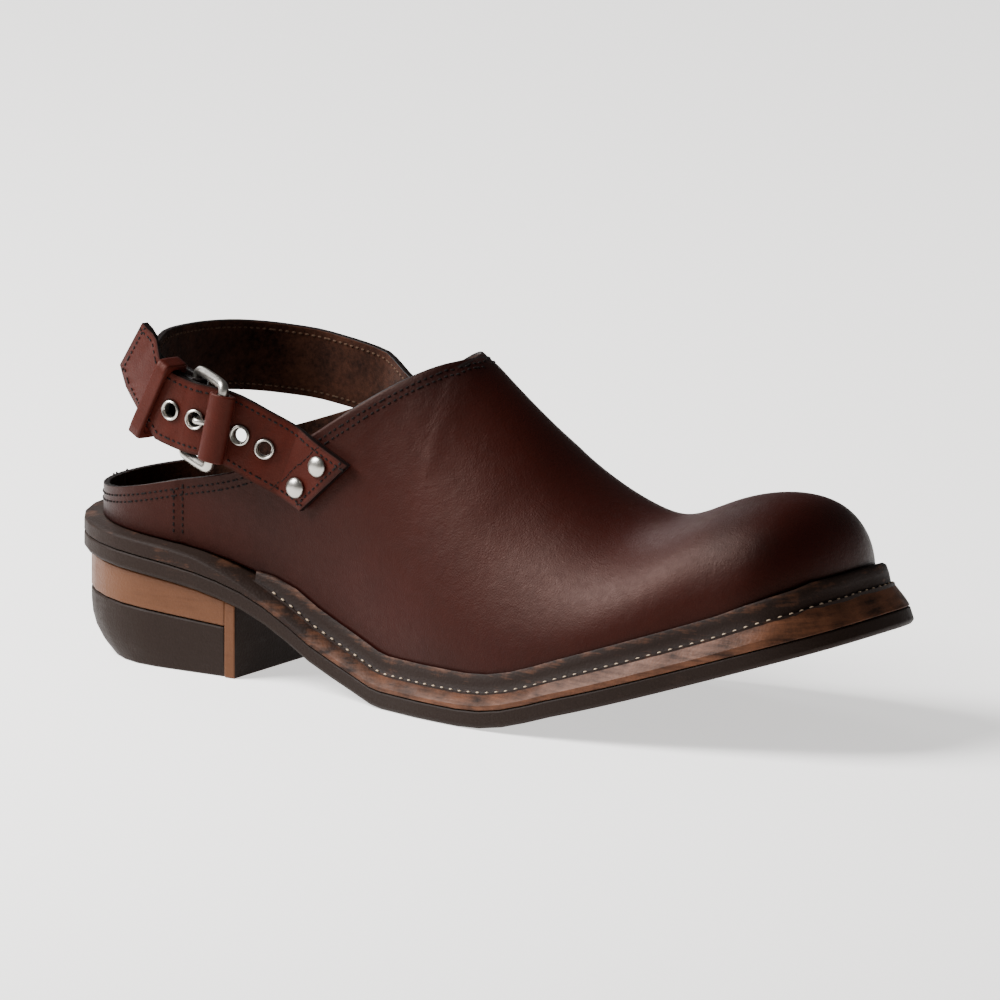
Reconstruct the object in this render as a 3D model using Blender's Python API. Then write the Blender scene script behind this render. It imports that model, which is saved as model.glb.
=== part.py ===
"""A right-foot slingback clog with a welted square-toed sole and a low block heel.

Shoe coordinates: x from the back of the sole to the toe, y to the inner side, z up from the
floor. The empty named shoe moves them so that the origin lies under the middle of the heel.
"""

import bpy
import bmesh
from collections import namedtuple
from math import atan2, ceil, cos, degrees, pi, radians, sin
from mathutils import Matrix, Vector

# Last and sole
LENGTH = 0.280
BALL_WIDTH = 0.099
HEEL_SEAT = 0.0305
TOE_SPRING = 0.0325
INSTEP_HEIGHT = 0.1035
HEEL_ROUND = 0.036
TOE_ROUND = 0.034
TOE_SKEW = 0.005
HEEL_SQUARENESS = 2.1
TOE_SQUARENESS = 2.8
UPPER_SQUARENESS = 2.25

# Sole layers
OUTSOLE_THICKNESS = 0.0053
SOLE_EDGE = 0.012
EDGE_BEVEL = 0.001
TOE_RAKE = 0.0045
LEDGE = 0.0062
TOE_LEDGE = 0.0118
WELT_THICKNESS = 0.0021
WELT_RIB = 0.0034
WELT_START = 0.076
GAP = 0.0003

# Heel
HEEL_LENGTH = 0.070
HEEL_INSET = 0.0022
LIFT_BACK = 0.020
LIFT_FRONT = 0.0155
BREAST_THICKNESS = 0.004
HEEL_TUCK = 0.009
TREAD_X = 0.038

# Upper
WALL = 0.0019
INSOLE_THICKNESS = 0.003
FEATHER_BAND = 0.0025
THROAT_X = 0.137
THROAT_ROUND = 0.012
COUNTER_SEAM = 0.047
COUNTER_STEP = 0.0006
UPPER_ROWS = 13

# Straps and buckle
STRAP_WIDTH = 0.0215
TAB_THICKNESS = 0.0021
BACK_THICKNESS = 0.0020
BAR_RADIUS = 0.0015
FRAME_HALF_HEIGHT = 0.0132
FRAME_CORNER = 0.0024
FLAP_LENGTH = 0.013
SLEEVE_WIDTH = 0.0084
SLEEVE_LEATHER = 0.0010
KEEPER_WIDTH = 0.0045
KEEPER_LEATHER = 0.0014
EYELET_RADIUS = 0.0030
EYELET_BORE = 0.0018
EYELET_RIM = 0.0006
PRONG_RADIUS = 0.0007
RIVET_RADIUS = 0.0032
RIVET_DOME = 0.0015
RIVET_GAP = 0.0006
RIVET_SPACING = 0.0100

# Outline of the sole: lengths as shares of LENGTH, half widths as shares of BALL_WIDTH
OUTLINE = (
    # along, outer, inner
    (0.00, 0.350, 0.350),
    (0.15, 0.362, 0.357),
    (0.27, 0.360, 0.322),
    (0.37, 0.382, 0.285),
    (0.46, 0.443, 0.317),
    (0.54, 0.498, 0.382),
    (0.63, 0.526, 0.452),
    (0.70, 0.516, 0.474),
    (0.78, 0.478, 0.470),
    (0.87, 0.405, 0.440),
    (1.00, 0.315, 0.385),
)

# Underside of the sole and its edge: the heel part as a share of HEEL_SEAT, the toe part as a
# share of TOE_SPRING, the height of the edge as a share of SOLE_EDGE
PROFILE = (
    # along, heel, toe, edge
    (0.000, 1.02, 0.00, 0.86),
    (0.090, 0.97, 0.00, 0.87),
    (0.190, 0.87, 0.00, 0.90),
    (0.250, 0.75, 0.00, 0.94),
    (0.290, 0.61, 0.00, 1.00),
    (0.325, 0.45, 0.00, 1.03),
    (0.360, 0.28, 0.00, 1.04),
    (0.410, 0.12, 0.00, 1.02),
    (0.465, 0.00, 0.00, 0.98),
    (0.585, 0.00, 0.00, 1.00),
    (0.640, 0.00, 0.06, 1.05),
    (0.690, 0.00, 0.19, 1.10),
    (0.750, 0.00, 0.34, 1.17),
    (0.860, 0.00, 0.64, 1.26),
    (0.920, 0.00, 0.81, 1.31),
    (1.000, 0.00, 1.03, 1.34),
)

# Upper: the crest as a share of INSTEP_HEIGHT, how high each section stands up before it turns
# and how far it domes over, and how far each side swells past the sole as a share of
# BALL_WIDTH. Behind the throat the crest is where the ankle would be.
UPPER = (
    # along, crest, stand, dome, outer swell, inner swell
    (0.000, 1.60, 0.40, 0.70, 0.000, 0.000),
    (0.170, 1.55, 0.40, 0.70, 0.010, 0.015),
    (0.240, 1.50, 0.40, 0.70, 0.025, 0.050),
    (0.340, 1.34, 0.40, 0.66, 0.045, 0.100),
    (0.385, 1.24, 0.40, 0.62, 0.045, 0.105),
    (0.440, 1.08, 0.39, 0.54, 0.035, 0.095),
    (0.480, 1.00, 0.38, 0.48, 0.028, 0.080),
    (0.510, 0.935, 0.37, 0.46, 0.022, 0.068),
    (0.540, 0.868, 0.36, 0.48, 0.016, 0.055),
    (0.580, 0.782, 0.36, 0.50, 0.008, 0.038),
    (0.625, 0.692, 0.38, 0.52, 0.003, 0.020),
    (0.675, 0.620, 0.42, 0.55, 0.000, 0.008),
    (0.720, 0.582, 0.48, 0.57, 0.000, 0.000),
    (0.765, 0.602, 0.54, 0.58, 0.000, 0.000),
    (0.820, 0.668, 0.56, 0.58, 0.000, 0.000),
    (0.870, 0.700, 0.56, 0.58, 0.000, 0.000),
    (0.925, 0.705, 0.56, 0.60, 0.000, 0.000),
    (1.000, 0.700, 0.56, 0.62, 0.000, 0.000),
)

# Top line from the heel to the throat, as shares of INSTEP_HEIGHT
TOP_LINE = (
    # along, outer, inner
    (0.020, 0.480, 0.480),
    (0.065, 0.495, 0.497),
    (0.170, 0.560, 0.615),
    (0.240, 0.605, 0.685),
    (0.340, 0.747, 0.800),
    (0.385, 0.838, 0.862),
    (0.440, 0.950, 0.955),
    (0.468, 0.986, 0.986),
    (0.489, 0.992, 0.992),
)

# Middle line of the punched tab, from its riveted end to its tail: x as a share of LENGTH, y as
# a share of BALL_WIDTH, z as a share of INSTEP_HEIGHT, width as a share of STRAP_WIDTH, and the
# lean of its top edge towards the foot in degrees. Without a y the strap lies on the upper.
TAB_LINE = (
    # x, y, z, width, lean
    (0.367, None, 0.606, 1.00, 0),
    (0.324, None, 0.658, 1.00, 0),
    (0.284, -0.358, 0.714, 1.00, 6),
    (0.243, -0.380, 0.760, 1.00, 4),
    (0.205, -0.398, 0.776, 1.00, 3),
    (0.165, -0.394, 0.806, 1.00, 3),
    (0.138, -0.372, 0.850, 0.96, 3),
    (0.119, -0.352, 0.893, 0.76, 3),
)

# Middle line of the heel strap, from its sewn end round the back to the tab
BACK_LINE = (
    # x, y, z, width, lean
    (0.372, None, 0.640, 1.00, 0),
    (0.334, None, 0.700, 1.00, 0),
    (0.270, 0.366, 0.765, 1.00, 5),
    (0.205, 0.355, 0.795, 1.00, 4),
    (0.155, 0.290, 0.815, 1.00, 4),
    (0.122, 0.165, 0.835, 1.00, 4),
    (0.112, 0.010, 0.850, 1.00, 4),
    (0.116, -0.150, 0.860, 1.00, 3),
    (0.130, -0.270, 0.850, 1.00, 3),
)
END_SLANT = 0.42

# Places along the tab's middle line, as shares of it
RIVETS_AT = (0.058, 0.112)
EYELETS = (0.300, 0.408, 0.604, 0.716)
PRONG_EYELET = 3
SLEEVE_AT = 0.490
HINGE_AT = 0.682
FOLD_FROM = (0.900, 0.830, 0.770)
KEEPER_AT = 0.815

LEATHER = (0.110, 0.022, 0.014)
EDGE_BROWN = (0.040, 0.022, 0.015)
RUBBED_TAN = (0.300, 0.150, 0.070)
SOLE_DARK = (0.030, 0.022, 0.018)
SUEDE = (0.060, 0.030, 0.020)
NICKEL = (0.560, 0.540, 0.510)

# An outline of the shoe in plan: how far it lies inside the sole's edge, how far its front lies
# behind the tip of the sole, and how square its toe is
Rim = namedtuple("Rim", "inset toe square")
Frame = namedtuple("Frame", "point run up out width")


def column(table, index, along):
    """Value of one column at a place along a table, by monotone cubic interpolation."""
    xs = [row[0] for row in table]
    ys = [row[index] for row in table]
    if along <= xs[0]:
        return ys[0]
    if along >= xs[-1]:
        return ys[-1]
    runs = [b - a for a, b in zip(xs, xs[1:])]
    rises = [(b - a) / run for a, b, run in zip(ys, ys[1:], runs)]
    slopes = [rises[0]]
    for before, after in zip(rises, rises[1:]):
        slopes.append(0.0 if before * after <= 0 else 2 * before * after / (before + after))
    slopes.append(rises[-1])
    k = max(i for i, x in enumerate(xs[:-1]) if x <= along)
    t = (along - xs[k]) / runs[k]
    return ((1 + 2 * t) * (1 - t) ** 2 * ys[k] + t * (1 - t) ** 2 * runs[k] * slopes[k]
            + t * t * (3 - 2 * t) * ys[k + 1] + t * t * (t - 1) * runs[k] * slopes[k + 1])


def underside(x):
    return (column(PROFILE, 1, x / LENGTH) * HEEL_SEAT
            + column(PROFILE, 2, x / LENGTH) * TOE_SPRING)


def seat(x):
    """Top of the midsole."""
    return underside(x) + column(PROFILE, 3, x / LENGTH) * SOLE_EDGE


def sole_rim(inset, height):
    """Edge of the sole at a share of its height. The front edge stands square to the sole."""
    return Rim(inset, inset + TOE_RAKE * height, TOE_SQUARENESS)


def upper_rim(inside):
    """Outline of the upper's foot, or of what lies that far inside it."""
    return Rim(LEDGE + inside, TOE_LEDGE + inside, UPPER_SQUARENESS)


def rounding(into, power):
    """Height of a superellipse at a share of the way from its middle to its end."""
    return max(0.0, 1 - into ** power) ** (1 / power)


def place_x(place, rim):
    """A place is -1 to 0 round the heel, 0 to 1 along the middle and 1 to 2 round the toe."""
    if place < 0:
        return HEEL_ROUND + (HEEL_ROUND - rim.inset) * place
    toe_start = LENGTH - TOE_ROUND
    if place > 1:
        return toe_start + (TOE_ROUND - rim.toe) * (place - 1)
    return HEEL_ROUND + (toe_start - HEEL_ROUND) * place


def middle_place(x):
    return (x - HEEL_ROUND) / (LENGTH - TOE_ROUND - HEEL_ROUND)


def closing(place, rim):
    """How far the outline has closed at its round heel or its square toe."""
    if place < 0:
        return rounding(-place, HEEL_SQUARENESS)
    return rounding(place - 1, rim.square) if place > 1 else 1.0


def centre(x):
    """Middle line of the shoe in plan, which turns to the inner side at the toe."""
    return TOE_SKEW * max(0.0, (x / LENGTH - 0.5) * 2) ** 2


def edge_point(side, place, rim, height=0.0):
    """Point of an outline. Side is -1 for the outer half and 1 for the inner."""
    x = place_x(place, rim)
    half = column(OUTLINE, 1 if side < 0 else 2, x / LENGTH) * BALL_WIDTH
    middle = centre(x)
    y = middle + side * (half - side * middle - rim.inset) * closing(place, rim)
    return Vector((x, y, height))


def places(heel=7, toe=8, step=0.0088):
    """Places that every layer has a section at, close together where the outline turns."""
    made = [-cos(pi / 2 * i / heel) ** (2 / HEEL_SQUARENESS) for i in range(heel)]
    seam = [COUNTER_SEAM - COUNTER_STEP / 2, COUNTER_SEAM + COUNTER_STEP / 2]
    throat = [THROAT_X - THROAT_ROUND * (1 - sin(pi / 2 * i / 4)) for i in range(5)]
    marks = [HEEL_ROUND, *seam, *throat, LENGTH - TOE_ROUND]
    for a, b in zip(marks, marks[1:]):
        count = max(1, ceil((b - a) / step))
        made += [middle_place(a + (b - a) * i / count) for i in range(count)]
    return made + [1 + sin(pi / 2 * i / toe) ** (2 / TOE_SQUARENESS) for i in range(toe + 1)]


def material(name, colour, roughness, metallic=0.0):
    made = bpy.data.materials.new(name)
    made.use_nodes = True
    shader = made.node_tree.nodes["Principled BSDF"]
    shader.inputs["Base Color"].default_value = (*colour, 1.0)
    shader.inputs["Roughness"].default_value = roughness
    shader.inputs["Metallic"].default_value = metallic
    return made


def piece(name, mesh, finish, sharp=35):
    """Makes a mesh an object that rides on the empty of the shoe."""
    bmesh.ops.remove_doubles(mesh, verts=mesh.verts, dist=0.00001)
    bmesh.ops.dissolve_degenerate(mesh, edges=mesh.edges, dist=0.00001)
    bmesh.ops.recalc_face_normals(mesh, faces=mesh.faces)
    data = bpy.data.meshes.new(name)
    mesh.to_mesh(data)
    mesh.free()
    data.materials.append(finish)
    data.shade_smooth()
    data.set_sharp_from_angle(angle=radians(sharp))
    made = bpy.data.objects.new(name, data)
    bpy.context.scene.collection.objects.link(made)
    made.parent = SHOE
    return made


def loft(mesh, sections, caps=True):
    """Bridges a row of closed sections of as many points each."""
    rings = [[mesh.verts.new(point) for point in section] for section in sections]
    for one, other in zip(rings, rings[1:]):
        for i in range(len(one)):
            k = (i + 1) % len(one)
            mesh.faces.new((one[i], one[k], other[k], other[i]))
    if caps:
        mesh.faces.new(rings[0])
        mesh.faces.new(rings[-1])


def layered(outer, inner):
    """Closes two like grids of points, outer side and inner side, into one layer."""
    mesh = bmesh.new()
    sides = []
    for grid in (outer, inner):
        sides.append([[mesh.verts.new(point) for point in row] for row in grid])
    rows = len(outer)
    for grid in sides:
        for one, other in zip(grid, grid[1:]):
            for r in range(len(one) - 1):
                mesh.faces.new((one[r], other[r], other[r + 1], one[r + 1]))
    for r in (0, -1):
        for i in range(rows - 1):
            mesh.faces.new((sides[0][i][r], sides[0][i + 1][r],
                            sides[1][i + 1][r], sides[1][i][r]))
    for i in (0, rows - 1):
        for r in range(len(outer[0]) - 1):
            mesh.faces.new((sides[0][i][r], sides[0][i][r + 1],
                            sides[1][i][r + 1], sides[1][i][r]))
    return mesh


def layer(where, rows):
    """A layer of the sole. A row is a rim and a height that depends on x, from low to high."""
    halves = []
    for side in (-1, 1):
        grid = []
        for place in where:
            points = [edge_point(side, place, rim) for rim, _ in rows]
            for point, (_, height) in zip(points, rows):
                point.z = height(point.x)
            grid.append(points)
        halves.append(grid)
    return layered(*halves)


def add_outsole():
    share = OUTSOLE_THICKNESS / SOLE_EDGE
    piece("outsole", layer(places(), (
        (sole_rim(EDGE_BEVEL, 0), underside),
        (sole_rim(0, 0), lambda x: underside(x) + EDGE_BEVEL),
        (sole_rim(0, share), lambda x: underside(x) + OUTSOLE_THICKNESS),
    )), material("outsole", SOLE_DARK, 0.55))


def add_midsole():
    share = OUTSOLE_THICKNESS / SOLE_EDGE
    piece("midsole", layer(places(), (
        (sole_rim(0, share), lambda x: underside(x) + OUTSOLE_THICKNESS + GAP),
        (sole_rim(0, 1), lambda x: seat(x) - EDGE_BEVEL),
        (sole_rim(EDGE_BEVEL, 1), seat),
    )), material("midsole", RUBBED_TAN, 0.6))


def add_welt():
    """Strip on the midsole with a stitch channel and a rib that turns up against the upper."""
    profile = (
        # share of the way in, height
        (0.00, GAP),
        (0.00, WELT_THICKNESS * 0.8),
        (0.08, WELT_THICKNESS),
        (0.36, WELT_THICKNESS),
        (0.42, WELT_THICKNESS * 0.6),
        (0.56, WELT_THICKNESS * 0.6),
        (0.64, WELT_RIB * 0.85),
        (0.82, WELT_RIB),
        (1.00, WELT_RIB * 0.8),
        (1.00, GAP),
    )
    outer = sole_rim(EDGE_BEVEL, 1)
    inner = upper_rim(-GAP)
    start = middle_place(WELT_START)
    where = [start] + [place for place in places() if place > start + 0.01]

    def section(side, place):
        points = []
        for share, height in profile:
            rim = Rim(*(a + (b - a) * share for a, b in zip(outer, inner)))
            point = edge_point(side, place, rim)
            points.append(point + Vector((0, 0, seat(point.x) + height)))
        return points

    mesh = bmesh.new()
    loft(mesh, [section(-1, place) for place in where]
         + [section(1, place) for place in reversed(where[:-1])])
    piece("welt", mesh, material("welt", EDGE_BROWN, 0.5))


def add_insole():
    rim = upper_rim(WALL + GAP)
    piece("insole", layer(places(), (
        (rim, lambda x: seat(x) + GAP),
        (rim, lambda x: seat(x) + GAP + INSOLE_THICKNESS),
    )), material("insole", SUEDE, 0.8))


def lift_line(x):
    """Seam between the tan lift and the dark block."""
    return LIFT_BACK + (LIFT_FRONT - LIFT_BACK) * x / HEEL_LENGTH


def heel_layer(name, finish, low, high, tuck, levels):
    """Part of the heel, with its back drawn in towards its lower edge by tuck."""
    front = HEEL_LENGTH - BREAST_THICKNESS - GAP
    end = middle_place(front)
    where = [place for place in places() if place < end] + [end]
    halves = []
    for side in (-1, 1):
        grid = []
        for place in where:
            base = edge_point(side, place, sole_rim(HEEL_INSET, 0))
            points = []
            for r in range(levels + 1):
                share = r / levels
                back = tuck * (1 - share) ** 3
                x = front - (front - base.x) * (1 - back / (front - HEEL_INSET))
                y = base.y * (1 - back / LENGTH)
                points.append(Vector((x, y, low(x) + (high(base.x) - low(base.x)) * share)))
            grid.append(points)
        halves.append(grid)
    piece(name, layered(*halves), finish)


def add_heel():
    heel_layer("heel_block", material("heel_block", SOLE_DARK, 0.5),
               lambda x: 0.0, lambda x: lift_line(x) - GAP, HEEL_TUCK, 5)
    heel_layer("heel_lift", material("heel_lift", RUBBED_TAN, 0.55),
               lift_line, lambda x: underside(x) - GAP, 0.0, 1)
    mesh = bmesh.new()
    sections = []
    for x in (HEEL_LENGTH - BREAST_THICKNESS, HEEL_LENGTH):
        ends = [edge_point(side, middle_place(x), sole_rim(HEEL_INSET, 0)) for side in (-1, 1)]
        top = Vector((0, 0, underside(x) - GAP))
        sections.append([ends[0], ends[1], ends[1] + top, ends[0] + top])
    loft(mesh, sections)
    piece("heel_breast", mesh, material("heel_breast", RUBBED_TAN, 0.55))


def section_point(side, place, t):
    """Outside of the upper over its feather band, from the foot (0) to the crest (1)."""
    rim = upper_rim(0)
    foot = edge_point(side, place, rim)
    base = seat(foot.x) + GAP + FEATHER_BAND
    crest, stand, dome = (column(UPPER, k, foot.x / LENGTH) for k in (1, 2, 3))
    height = crest * INSTEP_HEIGHT - base
    if place > 1:
        height *= closing(place, rim)
    middle = centre(foot.x)
    swell = side * BALL_WIDTH * column(UPPER, 4 if side < 0 else 5, foot.x / LENGTH)
    ys = (foot.y, foot.y + swell, middle + (foot.y - middle) * dome + swell, middle)
    zs = (base, base + stand * height, base + height, base + height)
    weights = ((1 - t) ** 3, 3 * t * (1 - t) ** 2, 3 * t * t * (1 - t), t ** 3)
    return Vector((foot.x, sum(w * y for w, y in zip(weights, ys)),
                   sum(w * z for w, z in zip(weights, zs))))


def height_share(side, place, z):
    """Where a section of the upper reaches a height."""
    low, high = 0.0, 1.0
    for _ in range(40):
        t = (low + high) / 2
        if section_point(side, place, t).z < z:
            low = t
        else:
            high = t
    return (low + high) / 2


def top_share(side, place):
    """Where the top line cuts a section, or 1 in front of the throat."""
    x = place_x(place, upper_rim(0))
    if x >= THROAT_X:
        return 1.0
    return height_share(side, place, column(TOP_LINE, 1 if side < 0 else 2, x / LENGTH)
                        * INSTEP_HEIGHT)


def add_upper():
    mesh = bmesh.new()
    for side in (-1, 1):
        columns = []
        for place in places():
            top = top_share(side, place)
            points = [section_point(side, place, top * j / UPPER_ROWS)
                      for j in range(UPPER_ROWS + 1)]
            foot = points[0] - Vector((0, 0, FEATHER_BAND))
            columns.append([mesh.verts.new(point) for point in (foot, *points)])
        for one, other in zip(columns, columns[1:]):
            for j in range(UPPER_ROWS + 1):
                mesh.faces.new((one[j], other[j], other[j + 1], one[j + 1]))
    bmesh.ops.remove_doubles(mesh, verts=mesh.verts, dist=0.00001)
    bmesh.ops.recalc_face_normals(mesh, faces=mesh.faces)
    mesh.normal_update()
    for vert in mesh.verts:
        if vert.co.x < COUNTER_SEAM:
            vert.co += vert.normal.xy.to_3d() * COUNTER_STEP
    upper = piece("upper", mesh, material("upper", LEATHER, 0.35))
    wall = upper.modifiers.new("wall", "SOLIDIFY")
    wall.thickness = WALL
    wall.offset = -1.0
    wall.use_even_offset = True


def seated(table, side, thickness):
    """A strap's rows in metres, with those that lie on the upper placed against it."""
    rows = []
    for x, y, z, width, lean in table:
        if y is None:
            place = middle_place(x * LENGTH)
            t = height_share(side, place, z * INSTEP_HEIGHT)
            here = section_point(side, place, t)
            above = section_point(side, place, t + 0.01) - here
            angle = atan2(-side * above.y, above.z)
            y = here.y + side * (thickness / 2 + 2 * GAP) / cos(angle)
            lean = degrees(angle)
        else:
            y *= BALL_WIDTH
        rows.append((x * LENGTH, y, z * INSTEP_HEIGHT, width * STRAP_WIDTH, lean))
    return rows


def strap_frame(rows, hand, share):
    """Frame on a strap's middle line. Hand is 1 where it runs round the back to the outside."""
    keyed = [(k, *row) for k, row in enumerate(rows)]
    reached = [0.0]
    for one, other in zip(rows, rows[1:]):
        reached.append(reached[-1] + (Vector(other[:3]) - Vector(one[:3])).length)
    spot = column([(far / reached[-1], k) for k, far in enumerate(reached)], 1, share)

    def at(spot):
        return Vector([column(keyed, k, spot) for k in (1, 2, 3)])

    run = (at(min(spot + 0.1, len(rows) - 1)) - at(max(spot - 0.1, 0))).normalized()
    level = run.cross(Vector((0, 0, hand))).normalized()
    lean = radians(column(keyed, 5, spot))
    up = Vector((0, 0, cos(lean))) - level * sin(lean)
    up = (up - run * up.dot(run)).normalized()
    out = up.cross(run).normalized() * -hand
    return Frame(at(spot), run, up, out, column(keyed, 4, spot))


def tab_frame(share):
    return strap_frame(seated(TAB_LINE, -1, TAB_THICKNESS), -1, share)


def moved(frame, run=0.0, up=0.0, out=0.0):
    """The same frame at a point that much along, above or outside it."""
    point = frame.point + frame.run * run + frame.up * up + frame.out * out
    return frame._replace(point=point)


def ribbon(frames, thickness, slant=0.0):
    """Flat strip along frames, with its first end cut at a slant."""
    mesh = bmesh.new()
    sections = []
    for i, frame in enumerate(frames):
        slide = frame.run * (slant * frame.width / 2 * max(0.0, 1 - i / 3))
        half = frame.up * (frame.width / 2) - slide
        deep = frame.out * (thickness / 2)
        sections.append([frame.point + half + deep, frame.point + half - deep,
                         frame.point - half - deep, frame.point - half + deep])
    loft(mesh, sections)
    return mesh


def standing(frame):
    """Matrix that stands a turned piece on a frame, with its z along the outward direction."""
    side = frame.up.cross(frame.out)
    basis = Matrix((side, frame.up, frame.out)).transposed()
    return Matrix.Translation(frame.point) @ basis.to_4x4()


def turned(profile, segments=16):
    """Spins an (r, z) profile about z. A profile that stays off the axis makes a ring."""
    mesh = bmesh.new()
    verts = [mesh.verts.new((r, 0, z)) for r, z in profile]
    pairs = list(zip(verts, verts[1:]))
    if profile[0][0] > 0 and profile[-1][0] > 0:
        pairs.append((verts[-1], verts[0]))
    edges = [mesh.edges.new(pair) for pair in pairs]
    bmesh.ops.spin(mesh, geom=verts + edges, cent=(0, 0, 0), axis=(0, 0, 1), angle=2 * pi,
                   steps=segments, use_merge=True)
    return mesh


def add_tab():
    mesh = ribbon([tab_frame(i / 28) for i in range(29)], TAB_THICKNESS, END_SLANT)
    tab = piece("strap_tab", mesh, material("strap_tab", LEATHER, 0.4))
    for number, share in enumerate(EYELETS, 1):
        radius = EYELET_BORE + EYELET_RIM + GAP
        reach = TAB_THICKNESS * 2
        cutter = turned(((0, -reach), (radius, -reach), (radius, reach), (0, reach)))
        cutter.transform(standing(tab_frame(share)))
        hole = piece(f"hole_{number}", cutter, tab.data.materials[0])
        hole.hide_render = True
        hole.display_type = "WIRE"
        cut = tab.modifiers.new(f"hole_{number}", "BOOLEAN")
        cut.object = hole
        cut.operation = "DIFFERENCE"
        cut.solver = "EXACT"


def add_eyelets():
    finish = material("eyelet", NICKEL, 0.25, 1.0)
    barrel = EYELET_BORE + EYELET_RIM
    face = TAB_THICKNESS / 2
    seat_z = face + 2 * GAP
    for number, share in enumerate(EYELETS, 1):
        mesh = turned((
            (EYELET_BORE, -face), (barrel, -face), (barrel, seat_z), (EYELET_RADIUS, seat_z),
            (EYELET_RADIUS - EYELET_RIM, seat_z + EYELET_RIM),
            (EYELET_BORE + EYELET_RIM, seat_z + EYELET_RIM), (EYELET_BORE, seat_z),
        ))
        mesh.transform(standing(tab_frame(share)))
        piece(f"eyelet_{number}", mesh, finish)


def add_rivets():
    finish = material("rivet", NICKEL, 0.25, 1.0)
    steps = 4
    for number, (share, rise) in enumerate(zip(RIVETS_AT, (0.5, -0.5)), 1):
        profile = [(0.0, 0.0), (RIVET_RADIUS, 0.0)]
        profile += [(RIVET_RADIUS * cos(pi / 2 * i / steps),
                     GAP + RIVET_DOME * sin(pi / 2 * i / steps)) for i in range(steps)]
        profile.append((0.0, GAP + RIVET_DOME))
        mesh = turned(profile)
        mesh.transform(standing(moved(tab_frame(share), up=rise * RIVET_SPACING,
                                      out=TAB_THICKNESS / 2 + RIVET_GAP)))
        piece(f"rivet_{number}", mesh, finish)


def bars():
    """Frames on the hinge bar and the front bar, which stand inside and outside the tab."""
    inner = TAB_THICKNESS / 2 + 3 * GAP + BACK_THICKNESS + BAR_RADIUS
    outer = TAB_THICKNESS / 2 + 6 * GAP + SLEEVE_LEATHER + BAR_RADIUS
    hinge = moved(tab_frame(HINGE_AT), out=-inner)
    front = moved(tab_frame(SLEEVE_AT), out=outer)
    ahead = (front.point - hinge.point).normalized()
    up = (hinge.up - ahead * hinge.up.dot(ahead)).normalized()
    out = ahead.cross(up)
    return (Frame(hinge.point, ahead, up, out, hinge.width),
            Frame(front.point, ahead, up, out, front.width))


def add_back_strap():
    """Heel strap, folded round the hinge bar with a flap on the inside."""
    rows = seated(BACK_LINE, 1, BACK_THICKNESS)
    inside = TAB_THICKNESS / 2 + 2 * GAP + BACK_THICKNESS / 2
    for share in FOLD_FROM:
        frame = moved(tab_frame(share), out=-inside)
        rows.append((*frame.point, STRAP_WIDTH, BACK_LINE[-1][4]))
    frames = [strap_frame(rows, 1, i / 36) for i in range(37)]
    hinge, _ = bars()
    reach = BAR_RADIUS + GAP + BACK_THICKNESS / 2
    for degree in (90, 50, 10, -30, -70):
        turn = radians(degree)
        out = hinge.out * sin(turn) + hinge.run * cos(turn)
        run = hinge.run * sin(turn) - hinge.out * cos(turn)
        frames.append(Frame(hinge.point + out * reach, run, hinge.up, out, STRAP_WIDTH))
    for share in (0.5, 1.0):
        gap = -reach + (reach - BACK_THICKNESS / 2) * share
        flap = moved(hinge, run=-FLAP_LENGTH * share, out=gap)
        frames.append(Frame(flap.point, -hinge.run, hinge.up, -hinge.out, STRAP_WIDTH))
    piece("strap_back", ribbon(frames, BACK_THICKNESS), material("strap_back", LEATHER, 0.4))


def tube(path, radius, closed=False):
    """Round bar along points, eight-sided."""
    sections = []
    count = len(path)
    for k, point in enumerate(path):
        before = path[k - 1] if closed or k else path[0]
        after = path[(k + 1) % count] if closed or k < count - 1 else path[-1]
        run = (after[0] - before[0]).normalized()
        side = point[1]
        other = run.cross(side).normalized()
        sections.append([point[0] + radius * (side * cos(pi / 4 * j) + other * sin(pi / 4 * j))
                         for j in range(8)])
    mesh = bmesh.new()
    loft(mesh, sections + sections[:1] if closed else sections, caps=not closed)
    return mesh


def add_buckle():
    hinge, front = bars()
    half = FRAME_HALF_HEIGHT
    corner = FRAME_CORNER
    length = (front.point - hinge.point).length
    path = []
    corners = ((length - corner, half - corner, 0), (corner, half - corner, 90),
               (corner, corner - half, 180), (length - corner, corner - half, 270))
    for along, rise, start in corners:
        for degree in (start, start + 30, start + 60, start + 90):
            turn = radians(degree)
            spot = moved(hinge, run=along + corner * cos(turn), up=rise + corner * sin(turn))
            path.append((spot.point, hinge.out))
    piece("buckle_frame", tube(path, BAR_RADIUS, closed=True),
          material("buckle_frame", NICKEL, 0.25, 1.0))


def add_prong():
    """Tongue from the hinge bar through the eyelet to the sleeve."""
    hinge, front = bars()
    eyelet = tab_frame(EYELETS[PRONG_EYELET - 1])
    low = TAB_THICKNESS / 2 + GAP + PRONG_RADIUS
    high = TAB_THICKNESS / 2 + 3 * GAP + EYELET_RIM + PRONG_RADIUS
    start = moved(hinge, run=BAR_RADIUS + 2 * GAP + BACK_THICKNESS + PRONG_RADIUS)
    tip = moved(front, run=-SLEEVE_WIDTH / 2 - GAP - PRONG_RADIUS / 2)
    lean = (PRONG_RADIUS - EYELET_BORE) / 3
    path = [start, moved(eyelet, run=-lean, out=-low - GAP), moved(eyelet, out=-low / 3),
            moved(eyelet, out=low / 3), moved(eyelet, run=lean, out=high),
            moved(eyelet, run=-EYELET_RADIUS, out=high), tip]
    points = [(frame.point, hinge.up) for frame in path]
    piece("buckle_prong", tube(points, PRONG_RADIUS), material("prong", NICKEL, 0.25, 1.0))


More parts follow.
